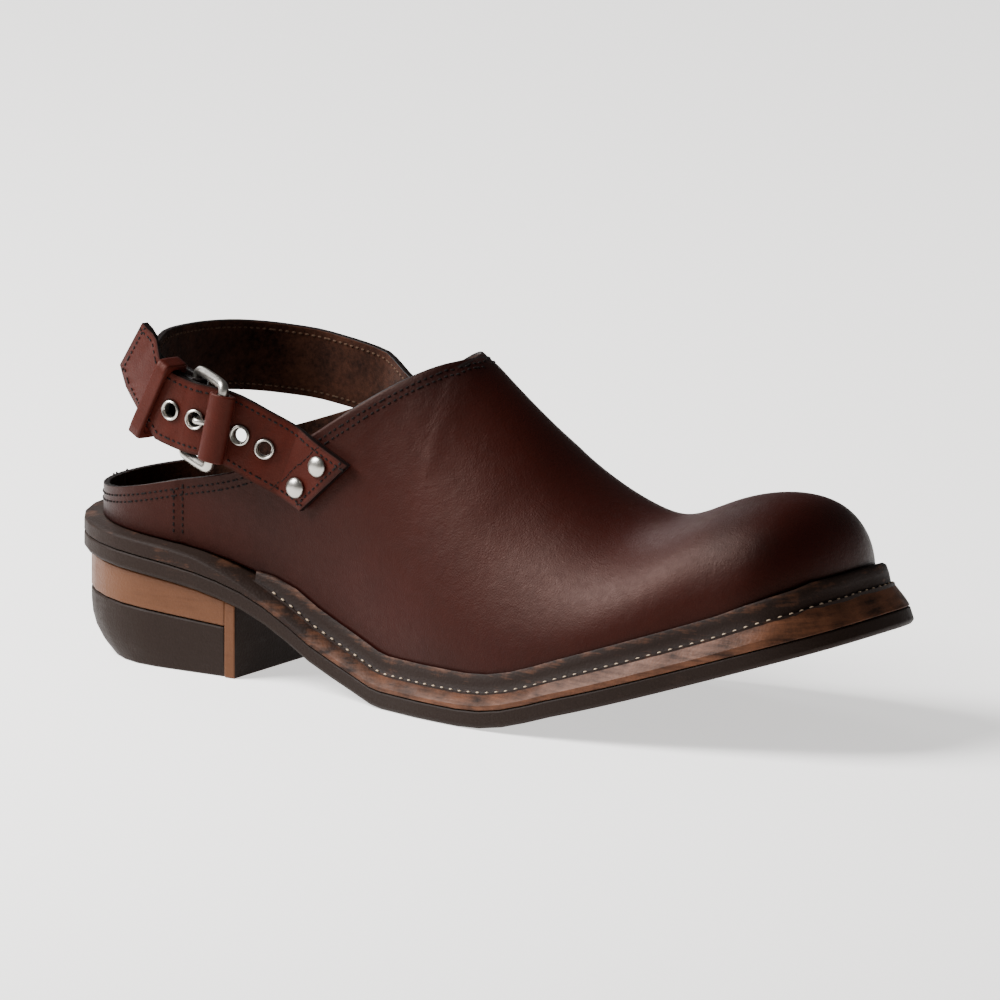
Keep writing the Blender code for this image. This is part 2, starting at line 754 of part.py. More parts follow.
def add_sleeve():
    """Leather sleeve round the front bar, turned to lie flat on the tab."""
    _, front = bars()
    face = tab_frame(SLEEVE_AT).out
    out = (face - front.up * face.dot(front.up)).normalized()
    front = front._replace(run=front.up.cross(out), out=out)
    bore = BAR_RADIUS + GAP
    half = FRAME_HALF_HEIGHT - FRAME_CORNER - GAP
    rings = []
    for wide, deep, ends in ((SLEEVE_WIDTH / 2, bore + SLEEVE_LEATHER, (-half, half)),
                             (bore, bore, (half, -half))):
        for end in ends:
            spot = moved(front, up=end)
            rings.append([moved(spot, run=wide * cos(pi / 8 * j), out=deep * sin(pi / 8 * j)).point
                          for j in range(16)])
    mesh = bmesh.new()
    loft(mesh, rings + rings[:1], caps=False)
    piece("buckle_sleeve", mesh, material("buckle_sleeve", LEATHER, 0.4))


def add_keeper():
    """Leather loop round the tab and the heel strap."""
    frame = tab_frame(KEEPER_AT)
    half = frame.width / 2 + 4 * GAP
    outer = TAB_THICKNESS / 2 + 3 * GAP
    inner = -TAB_THICKNESS / 2 - 6 * GAP - BACK_THICKNESS
    rings = []
    for grow, ends in ((KEEPER_LEATHER, (-1, 1)), (0.0, (1, -1))):
        for end in ends:
            spot = moved(frame, run=end * KEEPER_WIDTH / 2)
            corners = ((half + grow, outer + grow), (half + grow, inner - grow),
                       (-half - grow, inner - grow), (-half - grow, outer + grow))
            rings.append([moved(spot, up=rise, out=deep).point for rise, deep in corners])
    mesh = bmesh.new()
    loft(mesh, rings + rings[:1], caps=False)
    piece("keeper", mesh, material("keeper", LEATHER, 0.4))


for old in list(bpy.data.objects):
    bpy.data.objects.remove(old)
SHOE = bpy.data.objects.new("shoe", None)
bpy.context.scene.collection.objects.link(SHOE)
SHOE.location = (-TREAD_X, 0.0, 0.0)

add_outsole()
add_midsole()
add_welt()
add_heel()
add_insole()
add_upper()
add_back_strap()
add_tab()
add_eyelets()
add_rivets()
add_buckle()
add_prong()
add_sleeve()
add_keeper()
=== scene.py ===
"""Dresses the slingback clog: burnished leather, suede, stitching, worn edges and nickel.

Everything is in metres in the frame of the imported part: +X to the toe, +Y to the inner side,
+Z up, with the origin on the floor under the middle of the heel.
"""

from math import atan2, cos, exp, radians, sin

import bmesh
import bpy
from mathutils import Matrix, Vector
from mathutils.bvhtree import BVHTree


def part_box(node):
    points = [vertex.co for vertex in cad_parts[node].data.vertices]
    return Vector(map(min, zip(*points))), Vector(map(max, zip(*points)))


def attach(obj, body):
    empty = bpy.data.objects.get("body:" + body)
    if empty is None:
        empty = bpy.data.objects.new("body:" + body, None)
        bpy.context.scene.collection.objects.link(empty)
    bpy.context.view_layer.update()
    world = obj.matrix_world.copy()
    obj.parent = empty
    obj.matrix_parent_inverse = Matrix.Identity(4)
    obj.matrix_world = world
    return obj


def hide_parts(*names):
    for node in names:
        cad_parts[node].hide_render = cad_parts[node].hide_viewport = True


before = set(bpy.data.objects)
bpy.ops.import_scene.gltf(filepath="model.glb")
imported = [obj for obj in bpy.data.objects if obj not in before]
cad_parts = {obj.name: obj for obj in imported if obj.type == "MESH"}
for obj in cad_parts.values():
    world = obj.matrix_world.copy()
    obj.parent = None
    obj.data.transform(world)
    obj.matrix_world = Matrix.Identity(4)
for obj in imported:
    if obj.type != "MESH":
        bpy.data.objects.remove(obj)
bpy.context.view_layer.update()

bl_info = {
    "name": "Slingback clog",
    "version": (1, 0, 0),
    "blender": (4, 5, 0),
    "location": "View3D > Sidebar > Clog",
    "description": "Leather, suede, stitching and metal for a slingback clog",
    "category": "Object",
}

MM = 0.001
MERGE = 0.01 * MM

# Sockets of a Mix node for colours, taken by number because several have the same name
FACTOR, FIRST, SECOND = 0, 6, 7
MIXED = 2

UPPER_LOW, UPPER_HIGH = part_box("upper")
UPPER_SIZE = UPPER_HIGH - UPPER_LOW
AZIMUTH, ELEVATION = radians(34.5), radians(12.4)
VIEW_RIGHT = Vector((cos(AZIMUTH), sin(AZIMUTH), 0))
VIEW_BACK = Vector((sin(AZIMUTH) * cos(ELEVATION), -cos(AZIMUTH) * cos(ELEVATION),
                    sin(ELEVATION)))
VIEW_UP = VIEW_BACK.cross(VIEW_RIGHT)

# The camera's width of view, the middle of its view to the right and up, and its distance, then
# the floor and the sky
VIEW_WIDTH = 0.300
VIEW_MIDDLE = (0.087, 0.044)
CAMERA_DISTANCE = 2.0
FLOOR_HALF = 4.0
FLOOR_GLOW = 1.1
SKY_TINT = (1.0, 0.99, 0.98, 1.0)
SKY_STRENGTH = 0.12

# Where the lights point, and where they stand from there
LIGHTS_AT = (0.10, 0.0, 0.04)
LIGHTS = (
    # name, direction, distance, size, power
    ("top", (-0.62, -0.40, 0.68), 1.4, 0.80, 64.0),
    ("back", (-0.74, 0.50, 0.45), 1.7, 0.60, 4.0),
)

# Places along X: the cut of the midsole's edge, the welt's rib and the wax rub of the edge
# grow to their full size from the first place to the second. The last range lies behind the
# whole shoe, for a rub that is full everywhere.
CUT_GROWS = (12 * MM, 45 * MM)
RIB_GROWS = (34 * MM, 52 * MM)
RUB_GROWS = (20 * MM, 110 * MM)
ALL_ALONG = (-1.0, -0.9)

# The counter's seam: its place along X, and how many millimetres of height are looked through
COUNTER_SEAM = 9 * MM
SEAM_POINTS = 60

# The midsole's edge: the bevel of the solid, how far its top is cut down and where its middle
# line lies, as shares of its thickness, without and with the cut
EDGE_BEVEL = 1 * MM
BEVEL_DROP = 0.30
MIDDLE_PLAIN = 0.84
MIDDLE_CUT = 0.62

# The welt: the width of the stitched groove inside the bevel, where the thread lies in it, how
# deep the welt goes under the midsole's top, how thick its end faces are read, the share of its
# height that the rib starts with, and the points of the groove that aren't sewn at each end
GROOVE = 0.9 * MM
GROOVE_MIDDLE = 0.35 * MM
WELT_DEPTH = 1.2 * MM
WELT_END = 0.3 * MM
RIB_START = 0.1
BARE_POINTS = 6

# A point near the middle of the sole, seen from above
MIDDLE_OF_SOLE = (0.12, 0.0)

# How far a heel layer's front is closed
FRONT_GAP = 0.5 * MM

# Angles in degrees that end a smooth region and a flat one, and the least cosine between a
# face's normal and the way that it is said to face
SHARP_FACE = 50
FLAT_FACE = 30
FACES_IT = 0.7

# Rows of stitches: the spacing of their points, and the gap that isn't sewn across
ROW_STEP = 1.0 * MM
BORDER_STEP = 0.8 * MM
GROOVE_STEP = 0.6 * MM
ROW_BREAK = 3 * MM

# How far a crease reaches to its sides, in widths, and along itself from its middle, as a
# share of its length
CREASE_SIDES = 3
CREASE_ENDS = 0.42

# Polish of the upper's borders: strength, and how far it reaches
EDGE_POLISH = (0.42, 5.0 * MM)
FOOT_POLISH = (0.35, 4.5 * MM)

# Smoothing at the throat's apex: its rounds and the reach of the first in millimetres
APEX_ROUNDS = 36
APEX_REACH = 44

# Padding of the straps: inset and rise of a face, and the painted shade at its border
PAD_INSET = 1.1 * MM
PAD_RISE = 0.2 * MM
PAD_BORDER = 0.8 * MM
PAD_SHADE = 0.5

# Edge of the patch under the rivets: its points, from where and how far apart along the line
# from the second rivet to the first, how far from that line it lies, and how far the tab's
# face may be from a point that is sewn
PATCH_POINTS = 45
PATCH_FROM = -0.75
PATCH_STEP = 0.055
PATCH_SHIFT = (-5.2 * MM, 0, 1.5 * MM)
PATCH_REACH = 3.5 * MM

# The tab's free end, seen from the camera in millimetres to the right and up: the keeper, the
# way past it, the rise there and its slope, and how far the end comes back
KEEPER_SEEN = (-18.4, 71.5)
TAIL_WAY = (-0.99, 0.143)
TAIL_GROWS = (-2.5 * MM, 1.0 * MM)
TAIL_RISE = 4.2 * MM
TAIL_SLOPE = 0.16
TAIL_BACK = 0.7 * MM

# Growth of the metal pieces towards the sizes in the photo: of eyelets and rivets as factors,
# and of the buckle's wire all round
EYELET_GROWTH = 1.14
RIVET_GROWTH = 1.04
WIRE_GROWTH = 0.25 * MM

# Soft troughs (depth above 0) and ridges (below 0) of the upper, drawn in side view. Places are
# shares of the upper's length and height, depth and width are in millimetres.
CREASES = (
    # side, from along, from up, to along, to up, depth, width
    (-1, 0.440, 0.860, 0.490, 0.700, 0.16, 1.8),
    (-1, 0.415, 0.800, 0.440, 0.640, 0.14, 1.6),
    (-1, 0.490, 0.760, 0.560, 0.620, 0.16, 2.6),
    (-1, 0.560, 0.560, 0.680, 0.440, 0.30, 6.5),
    (-1, 0.620, 0.420, 0.740, 0.330, -0.25, 7.0),
    (-1, 0.180, 0.400, 0.300, 0.300, 0.25, 5.5),
    (1, 0.490, 0.780, 0.560, 0.620, 0.20, 3.0),
    (1, 0.560, 0.560, 0.690, 0.420, 0.35, 6.5),
    (1, 0.180, 0.420, 0.300, 0.320, 0.25, 5.5),
)

# Dark spots of the leather, in side view, as shares of the upper's length and height: burnished
# spots, and one painted shadow under the strap
SPOTS = (
    # along, up, radius in millimetres, strength
    (0.895, 0.560, 9.0, 0.40),
    (0.945, 0.540, 6.0, 0.40),
    (0.990, 0.400, 12.0, 0.30),
    (0.020, 0.300, 14.0, 0.30),
    # Painted shadow under the strap, not burnish
    (0.290, 0.430, 24.0, 0.35),
    (0.480, 0.980, 13.0, 0.35),
)


def linear(code):
    """Linear colour of an sRGB hex code."""
    channels = [int(code[i:i + 2], 16) / 255 for i in (1, 3, 5)]
    return tuple(c / 12.92 if c <= 0.04045 else ((c + 0.055) / 1.055) ** 2.4 for c in channels)


def colour(name, description, code):
    """A colour that the panel shows."""
    return bpy.props.FloatVectorProperty(name=name, description=description, subtype="COLOR",
                                         size=3, min=0.0, max=1.0, default=linear(code))


def length(name, description, default):
    """A size that the panel shows."""
    return bpy.props.FloatProperty(name=name, description=description, subtype="DISTANCE",
                                   unit="LENGTH", default=default, min=0.0, precision=4)


class ClogSizes(bpy.types.PropertyGroup):
    """Sizes of the stitching and the edges."""

    stitch_pitch: length("Stitch pitch", "From one stitch to the next", 1.9 * MM)
    stitch_thick: length("Thread", "Thickness of the upper's thread", 0.7 * MM)
    first_row: length("First row", "From the edge to the first row of stitches", 2.6 * MM)
    second_row: length("Second row", "From the edge to the second row of stitches", 4.6 * MM)
    strap_row: length("Strap row", "From a strap's edge to its stitches", 2.1 * MM)
    seam_gap: length("Seam gap", "Between the two rows of the counter seam", 3.0 * MM)
    welt_pitch: length("Welt pitch", "From one welt stitch to the next", 3.6 * MM)
    welt_thick: length("Welt thread", "Thickness of the welt's thread", 0.8 * MM)
    bevel_width: length("Sole bevel", "Width of the bevel outside the stitches", 3.4 * MM)
    rib_height: length("Rib", "Height of the welt's rib above the midsole", 3.4 * MM)
    edge_round: length("Edge rounding", "Rounding of cut leather edges", 0.55 * MM)


class ClogColours(bpy.types.PropertyGroup):
    """Colours of the leather, the edges and the metal."""

    leather: colour("Leather", "Rubbed areas of the upper", "#2c0b06")
    # The deep tone also colours the painted shade under the strap and at the straps' borders
    leather_deep: colour("Deep leather", "Burnished areas of the upper", "#160403")
    strap_leather: colour("Strap leather", "Rubbed areas of the straps", "#40150e")
    suede: colour("Suede", "Lining of the upper and straps", "#2e1910")
    cut_edge: colour("Cut edge", "Painted edges of the leather", "#0c0403")
    thread: colour("Thread", "Stitches of the upper", "#0a0302")
    strap_thread: colour("Lining thread", "Stitches on the suede", "#4a3628")
    welt: colour("Welt", "Welt leather", "#1c110c")
    welt_thread: colour("Welt thread", "Stitches of the welt", "#a3907a")
    rub: colour("Rubbed edge", "Rubbed parts of the sole's edge", "#5a3826")
    edge: colour("Sole edge", "Stained parts of the sole's edge", "#1a0e08")
    outsole: colour("Outsole", "Rubber outsole", "#1a0f09")
    lift: colour("Lift", "Natural lift of the heel", "#523320")
    nickel: colour("Nickel", "Buckle, eyelets and rivets", "#a8a49d")
    floor: colour("Floor", "Studio floor", "#f4f2f0")


def add(tree, kind, links=None, **settings):
    """Adds a node, sets its properties and its sockets, and links what is a socket."""
    made = tree.nodes.new(kind)
    for name, value in settings.items():
        setattr(made, name, value)
    for name, value in (links or {}).items():
        if isinstance(value, bpy.types.NodeSocket):
            tree.links.new(value, made.inputs[name])
        else:
            made.inputs[name].default_value = value
    return made


def new_material(name):
    """An empty material with its shader, and the Object coordinates of its piece."""
    made = bpy.data.materials.new(name)
    made.use_nodes = True
    tree = made.node_tree
    place = add(tree, "ShaderNodeTexCoord").outputs["Object"]
    return made, tree, tree.nodes["Principled BSDF"], place


def rgba(value):
    """A colour with full cover."""
    return (*value, 1.0)


def wire(tree, shader, **links):
    """Links sockets to the shader's colour, roughness and normal."""
    names = {"base": "Base Color", "rough": "Roughness", "normal": "Normal"}
    for name, socket in links.items():
        tree.links.new(socket, shader.inputs[names[name]])


def leather_material(name, light, deep, attribute=None):
    """Aniline calf, hand burnished: darker where it was polished and where the attribute paints
    shade, with a fine grain.
    """
    made, tree, shader, place = new_material(name)
    cloud = add(tree, "ShaderNodeTexNoise", {"Vector": place, "Scale": 1 / (45 * MM),
                                             "Detail": 5.0, "Roughness": 0.6})
    fine = add(tree, "ShaderNodeTexNoise", {"Vector": place, "Scale": 1 / (2.2 * MM),
                                            "Detail": 4.0, "Roughness": 0.65})
    mottle = add(tree, "ShaderNodeMath", {0: cloud.outputs["Fac"], 1: 0.9, 2: -0.20},
                 operation="MULTIPLY_ADD")
    speck = add(tree, "ShaderNodeMath", {0: fine.outputs["Fac"], 1: 0.35,
                                         2: mottle.outputs[0]}, operation="MULTIPLY_ADD")
    amount = speck.outputs[0]
    if attribute:
        mark = add(tree, "ShaderNodeAttribute", attribute_name=attribute)
        total = add(tree, "ShaderNodeMath", {0: mark.outputs["Fac"], 1: amount})
        amount = total.outputs[0]
    tone = add(tree, "ShaderNodeMix", {FACTOR: amount, FIRST: rgba(light),
                                       SECOND: rgba(deep)},
               data_type="RGBA", clamp_factor=True)
    # Pores about 0.9 mm apart, coarser than real calf so that they show
    pores = add(tree, "ShaderNodeTexVoronoi", {"Vector": place, "Scale": 1 / (0.9 * MM)},
                feature="DISTANCE_TO_EDGE")
    wrinkle = add(tree, "ShaderNodeTexNoise", {"Vector": place, "Scale": 1 / (5 * MM),
                                               "Detail": 6.0, "Roughness": 0.75,
                                               "Distortion": 0.8})
    heights = add(tree, "ShaderNodeMath", {0: pores.outputs["Distance"], 1: 0.35,
                                           2: wrinkle.outputs["Fac"]},
                  operation="MULTIPLY_ADD")
    relief = add(tree, "ShaderNodeBump", {"Height": heights.outputs[0], "Strength": 0.30,
                                          "Distance": 0.6 * MM})
    gloss = add(tree, "ShaderNodeMapRange", {"Value": fine.outputs["Fac"],
                                             "To Min": 0.38, "To Max": 0.58})
    wire(tree, shader, base=tone.outputs[MIXED], rough=gloss.outputs[0],
         normal=relief.outputs[0])
    shader.inputs["Specular IOR Level"].default_value = 0.13
    shader.inputs["Specular Tint"].default_value = (1.0, 0.66, 0.55, 1.0)
    return made


def suede_material(name, tint):
    """Split leather with its nap up: no gloss, cloudy where it was stroked."""
    made, tree, shader, place = new_material(name)
    # Tufts 1.6 mm wide, coarser than a real nap so that they show
    nap = add(tree, "ShaderNodeTexNoise", {"Vector": place, "Scale": 1 / (1.6 * MM),
                                           "Detail": 5.0, "Roughness": 0.75})
    cloud = add(tree, "ShaderNodeTexNoise", {"Vector": place, "Scale": 1 / (12 * MM),
                                             "Detail": 3.0})
    both = add(tree, "ShaderNodeMath", {0: nap.outputs["Fac"], 1: cloud.outputs["Fac"]})
    tuft = add(tree, "ShaderNodeMapRange", {"Value": both.outputs[0],
                                            "From Min": 0.75, "From Max": 1.25})
    tone = add(tree, "ShaderNodeMix", {FACTOR: tuft.outputs[0],
                                       FIRST: rgba([c * 0.35 for c in tint]),
                                       SECOND: rgba([c * 1.9 for c in tint])},
               data_type="RGBA")
    relief = add(tree, "ShaderNodeBump", {"Height": nap.outputs["Fac"], "Strength": 0.6,
                                          "Distance": 0.5 * MM})
    wire(tree, shader, base=tone.outputs[MIXED], normal=relief.outputs[0])
    shader.inputs["Roughness"].default_value = 0.95
    shader.inputs["Specular IOR Level"].default_value = 0.05
    shader.inputs["Sheen Weight"].default_value = 0.05
    return made


def edge_material(name, rubbed, stained, band, spread, reach=ALL_ALONG, amount=0.62):
    """Sole leather, stained dark and rubbed with wax where it stands out.

    The rubbed band lies at a share of the edge's rise and is strongest past a place along X.
    The rubber outsole and the heel's layers have the same pattern in their own colours.
    """
    made, tree, shader, place = new_material(name)
    long_way = add(tree, "ShaderNodeMapping", {"Vector": place, "Scale": (0.14, 0.14, 1.5)})
    streak = add(tree, "ShaderNodeTexNoise", {"Vector": long_way.outputs[0],
                                              "Scale": 1 / (1.8 * MM), "Detail": 6.0,
                                              "Roughness": 0.7})
    patch = add(tree, "ShaderNodeTexNoise", {"Vector": place, "Scale": 1 / (8 * MM),
                                             "Detail": 4.0, "Roughness": 0.6})
    rise = add(tree, "ShaderNodeAttribute", attribute_name="rise")
    away = add(tree, "ShaderNodeMath", {0: rise.outputs["Fac"], 1: band},
               operation="SUBTRACT")
    apart = add(tree, "ShaderNodeMath", {0: away.outputs[0]}, operation="ABSOLUTE")
    inside = add(tree, "ShaderNodeMapRange", {"Value": apart.outputs[0],
                                              "From Min": spread, "From Max": 0.0})
    axes = add(tree, "ShaderNodeSeparateXYZ", {"Vector": place})
    fore = add(tree, "ShaderNodeMapRange", {"Value": axes.outputs["X"],
                                            "From Min": reach[0], "From Max": reach[1]})
    held = add(tree, "ShaderNodeMath", {0: inside.outputs[0], 1: fore.outputs[0]},
               operation="MULTIPLY")
    mixed = add(tree, "ShaderNodeMath", {0: streak.outputs["Fac"], 1: patch.outputs["Fac"]})
    total = add(tree, "ShaderNodeMath", {0: held.outputs[0], 1: amount, 2: mixed.outputs[0]},
                operation="MULTIPLY_ADD")
    wear = add(tree, "ShaderNodeMapRange", {"Value": total.outputs[0],
                                            "From Min": 1.12, "From Max": 1.62})
    tone = add(tree, "ShaderNodeMix", {FACTOR: wear.outputs[0], FIRST: rgba(stained),
                                       SECOND: rgba(rubbed)}, data_type="RGBA")
    grain = add(tree, "ShaderNodeTexNoise", {"Vector": place, "Scale": 1 / (0.8 * MM),
                                             "Detail": 3.0})
    heights = add(tree, "ShaderNodeMath", {0: streak.outputs["Fac"], 1: 0.6,
                                           2: grain.outputs["Fac"]},
                  operation="MULTIPLY_ADD")
    relief = add(tree, "ShaderNodeBump", {"Height": heights.outputs[0], "Strength": 0.35,
                                          "Distance": 0.4 * MM})
    shine = add(tree, "ShaderNodeMapRange", {"Value": wear.outputs[0],
                                             "To Min": 0.62, "To Max": 0.45})
    wire(tree, shader, base=tone.outputs[MIXED], rough=shine.outputs[0],
         normal=relief.outputs[0])
    shader.inputs["Specular IOR Level"].default_value = 0.12
    return made


def eased(value, low, high):
    """0 below low and 1 above high, with an eased rise between."""
    share = max(0.0, min(1.0, (value - low) / (high - low)))
    return share * share * (3 - 2 * share)


def level_rings(mesh):
    """Points of a layer's top face and of its bottom face."""
    rings = []
    for turn in (1, -1):
        faces = region(mesh, (0, 0, turn), (0, 0, turn), FLAT_FACE)
        rings.append({vert for face in faces for vert in face.verts})
    return rings


def marked(mesh):
    """Marks each point of a layer with its rise from the layer's bottom to its top."""
    top, low = level_rings(mesh)
    mark = mesh.verts.layers.float.new("rise")
    for vert in mesh.verts:
        vert[mark] = 1.0 if vert in top else 0.0 if vert in low else 0.5
    return mesh


def close_front(mesh):
    """Brings a heel layer's front against the breast board."""
    front = max(vert.co.x for vert in mesh.verts)
    for vert in mesh.verts:
        if vert.co.x > front - FRONT_GAP:
            vert.co.x += FRONT_GAP


def plan_gap(a, b):
    """Distance between two points seen from above."""
    return (a.co.xy - b.co.xy).length


def ends_of(edge):
    """Places of an edge's ends, for putting edges in the same order in each run."""
    return sorted(tuple(vert.co) for vert in edge.verts)


def bevelled(mesh, width):
    """Cuts the welted part of the midsole's edge to a slope, and lists its thickness."""
    top, low = level_rings(mesh)
    stations = []
    for vert in mesh.verts:
        if vert in top or vert in low:
            continue
        ends = [edge.other_vert(vert) for edge in vert.link_edges]
        head = min((end for end in ends if end in top), key=lambda end: plan_gap(end, vert))
        foot = min((end for end in ends if end in low), key=lambda end: plan_gap(end, vert))
        stations.append((vert, head, foot, head.co.z - foot.co.z))
    table = []
    for middle, head, foot, thick in stations:
        table.append((middle.co.xy.copy(), thick))
        share = eased(middle.co.x, *CUT_GROWS)
        inward = (head.co.xy - middle.co.xy).normalized() * (width - EDGE_BEVEL) * share
        middle.co.z = foot.co.z + thick * (MIDDLE_PLAIN - MIDDLE_CUT * share)
        head.co.x += inward.x
        head.co.y += inward.y
        head.co.z -= BEVEL_DROP * thick * share
    mesh.normal_update()
    return mesh, table


def welt_sections(mesh):
    """Outer and inner point of each section of the CAD welt, from heel round to heel."""
    low = region(mesh, (0, 0, -1), (0, 0, -1), FLAT_FACE)
    edges = {edge for face in low for edge in face.edges
             if all(other in low for other in edge.link_faces)}
    start = min(vert.co.x for vert in mesh.verts) + WELT_END
    edges |= {edge for face in low for edge in face.edges
              if max(vert.co.x for vert in edge.verts) < start}
    best = {}
    for edge in sorted(edges, key=lambda edge: (edge.calc_length(), ends_of(edge))):
        if not any(vert in best for vert in edge.verts):
            for vert in edge.verts:
                best[vert] = edge
    pairs = []
    middle = Vector(MIDDLE_OF_SOLE)
    for edge in set(best.values()):
        a, b = sorted(edge.verts, key=lambda vert: -(vert.co.xy - middle).length)
        pairs.append((a.co.copy(), b.co.copy()))
    # Seen from just behind the welt's two ends, each section lies at its own angle
    return sorted(pairs, key=lambda pair: atan2(pair[0].y, pair[0].x - start + 2 * MM))


def metal_material(name, tint):
    """Tumbled nickel plate: bright, with a soft haze and fine scuffs."""
    made, tree, shader, place = new_material(name)
    haze = add(tree, "ShaderNodeTexNoise", {"Vector": place, "Scale": 1 / (1.5 * MM),
                                            "Detail": 4.0})
    gloss = add(tree, "ShaderNodeMapRange", {"Value": haze.outputs["Fac"],
                                             "To Min": 0.24, "To Max": 0.40})
    wire(tree, shader, rough=gloss.outputs[0])
    shader.inputs["Base Color"].default_value = rgba(tint)
    shader.inputs["Metallic"].default_value = 1.0
    return made


def plain_material(name, tint, roughness):
    """Waxed thread and painted edges: one tone with a fine fleck."""
    made, tree, shader, place = new_material(name)
    fleck = add(tree, "ShaderNodeTexNoise", {"Vector": place, "Scale": 1 / (0.6 * MM),
                                             "Detail": 2.0})
    tone = add(tree, "ShaderNodeMix", {FACTOR: fleck.outputs["Fac"],
                                       FIRST: rgba([c * 0.7 for c in tint]),
                                       SECOND: rgba([min(1.0, c * 1.3) for c in tint])},
               data_type="RGBA")
    wire(tree, shader, base=tone.outputs[MIXED])
    shader.inputs["Roughness"].default_value = roughness
    shader.inputs["Specular IOR Level"].default_value = 0.15
    return made


def cad_copy(node):
    """The node's mesh with its doubles merged and its triangles joined to quads."""
    mesh = bmesh.new()
    mesh.from_mesh(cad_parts[node].data)
    bmesh.ops.remove_doubles(mesh, verts=mesh.verts, dist=MERGE)
    bmesh.ops.join_triangles(mesh, faces=mesh.faces, angle_face_threshold=radians(25),
                             angle_shape_threshold=radians(70))
    mesh.normal_update()
    return mesh


def region(mesh, facing, towards, limit=SHARP_FACE):
    """Faces that run smoothly on from the one that faces a way and lies furthest a way."""
    facing = Vector(facing)
    towards = Vector(towards)
    seed = max((face for face in mesh.faces if face.normal.dot(facing) > FACES_IT),
               key=lambda face: face.calc_center_median().dot(towards))
    found = {seed}
    front = [seed]
    while front:
        face = front.pop()
        for edge in face.edges:
            if len(edge.link_faces) != 2 or edge.calc_face_angle() > radians(limit):
                continue
            for other in edge.link_faces:
                if other not in found:
                    found.add(other)
                    front.append(other)
    return found


def borders(faces):
    """Closed lines of points round a region, the longest first."""
    edges = {edge for face in faces for edge in face.edges
             if sum(other in faces for other in edge.link_faces) == 1}
    loops = []
    for edge in sorted(edges, key=ends_of):
        if edge not in edges:
            continue
        edges.remove(edge)
        first, here = sorted(edge.verts, key=lambda vert: tuple(vert.co))
        loop = [first.co.copy(), here.co.copy()]
        while True:
            step = next((e for e in here.link_edges if e in edges), None)
            if step is None:
                break
            edges.remove(step)
            here = step.other_vert(here)
            loop.append(here.co.copy())
        loops.append(loop)
    return sorted(loops, key=lambda line: -way(line))


def way(line):
    """Length of a line of points."""
    return sum((b - a).length for a, b in zip(line, line[1:]))


def steps(line, pitch):
    """Points a pitch apart along a line, each with its direction."""
    made = []
    wait = pitch / 2
    for a, b in zip(line, line[1:]):
        run = (b - a).length
        while wait < run:
            made.append((a.lerp(b, wait / run), (b - a).normalized()))
            wait += pitch
        wait -= run
    return made


def in_order(faces):
    """A set of faces as a list that is the same in each run."""
    return sorted(faces, key=lambda face: tuple(face.calc_center_median()))


def surface(faces):
    """Tree of a region's faces, for finding places on it."""
    numbers = {}
    points = []
    polygons = []
    for face in in_order(faces):
        polygon = []
        for vert in face.verts:
            if vert not in numbers:
                numbers[vert] = len(points)
                points.append(vert.co.copy())
            polygon.append(numbers[vert])
        polygons.append(polygon)
    return BVHTree.FromPolygons(points, polygons)


def beside(tree, line, distance):
    """A line on a surface that keeps a distance to its border line, with normals."""
    made = []
    for point, run in steps(line, ROW_STEP):
        _, normal, _, _ = tree.find_nearest(point)
        across = normal.cross(run).normalized() * distance
        hits = [tree.find_nearest(point + side * across) for side in (-1, 1)]
        near, normal, _, far = min(hits, key=lambda hit: hit[3])
        # A point that falls off the surface is left out
        if far < 0.5 * distance:
            made.append((near, normal))
    return made


def stitch(mesh, point, run, normal, long, thick):
    """One stitch: a small rounded bar that lies along its run and is half sunk."""
    across = normal.cross(run).normalized()
    up = run.cross(across).normalized()
    turn = Matrix((run, across, up)).transposed().to_4x4()
    size = Matrix.Diagonal((long / 2, thick / 2, thick / 2, 1.0))
    bmesh.ops.create_uvsphere(mesh, u_segments=6, v_segments=4, radius=1.0,
                              matrix=Matrix.Translation(point) @ turn @ size)


def sew(mesh, row, pitch, thick, cover=0.72):
    """Stitches along a row of (point, normal)."""
    line = [point for point, _ in row]
    here = 0.0
    for k, (a, b) in enumerate(zip(line, line[1:])):
        run = (b - a).length
        if run > ROW_BREAK:
            here = 0.0
            continue
        here += run
        if here >= pitch:
            here -= pitch
            stitch(mesh, b, (b - a).normalized(), row[k + 1][1], pitch * cover, thick)


def finish(mesh, name, materials, nodes=(), sharp=35, bevel=0.0, levels=0, segments=2):
    """Makes a mesh a piece that rides on the shoe and stands for CAD nodes."""
    data = bpy.data.meshes.new(name)
    mesh.to_mesh(data)
    mesh.free()
    for made in materials:
        data.materials.append(made)
    data.shade_smooth()
    data.set_sharp_from_angle(angle=radians(sharp))
    piece = bpy.data.objects.new(name, data)
    bpy.context.scene.collection.objects.link(piece)
    if bevel:
        rounding = piece.modifiers.new("rounding", "BEVEL")
        rounding.width = bevel
        rounding.segments = segments
        rounding.limit_method = "ANGLE"
        rounding.angle_limit = radians(sharp)
    if levels:
        smooth = piece.modifiers.new("smooth", "SUBSURF")
        smooth.levels = levels
        smooth.render_levels = levels
    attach(piece, "root")
    if nodes:
        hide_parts(*nodes)
    return piece


def subdivided(mesh, levels, hold=1.0):
    """The mesh after Catmull-Clark, with its sharp edges kept, as a new bmesh."""
    crease = mesh.edges.layers.float.new("crease_edge")
    for edge in mesh.edges:
        if len(edge.link_faces) == 2 and edge.calc_face_angle() > radians(SHARP_FACE):
            edge[crease] = hold
    data = bpy.data.meshes.new("draft")
    mesh.to_mesh(data)
    mesh.free()
    draft = bpy.data.objects.new("draft", data)
    bpy.context.scene.collection.objects.link(draft)
    smooth = draft.modifiers.new("smooth", "SUBSURF")
    smooth.levels = levels
    smooth.render_levels = levels
    ready = draft.evaluated_get(bpy.context.evaluated_depsgraph_get())
    made = bmesh.new()
    made.from_mesh(ready.to_mesh())
    ready.to_mesh_clear()
    bpy.data.objects.remove(draft)
    bpy.data.meshes.remove(data)
    made.normal_update()
    return made


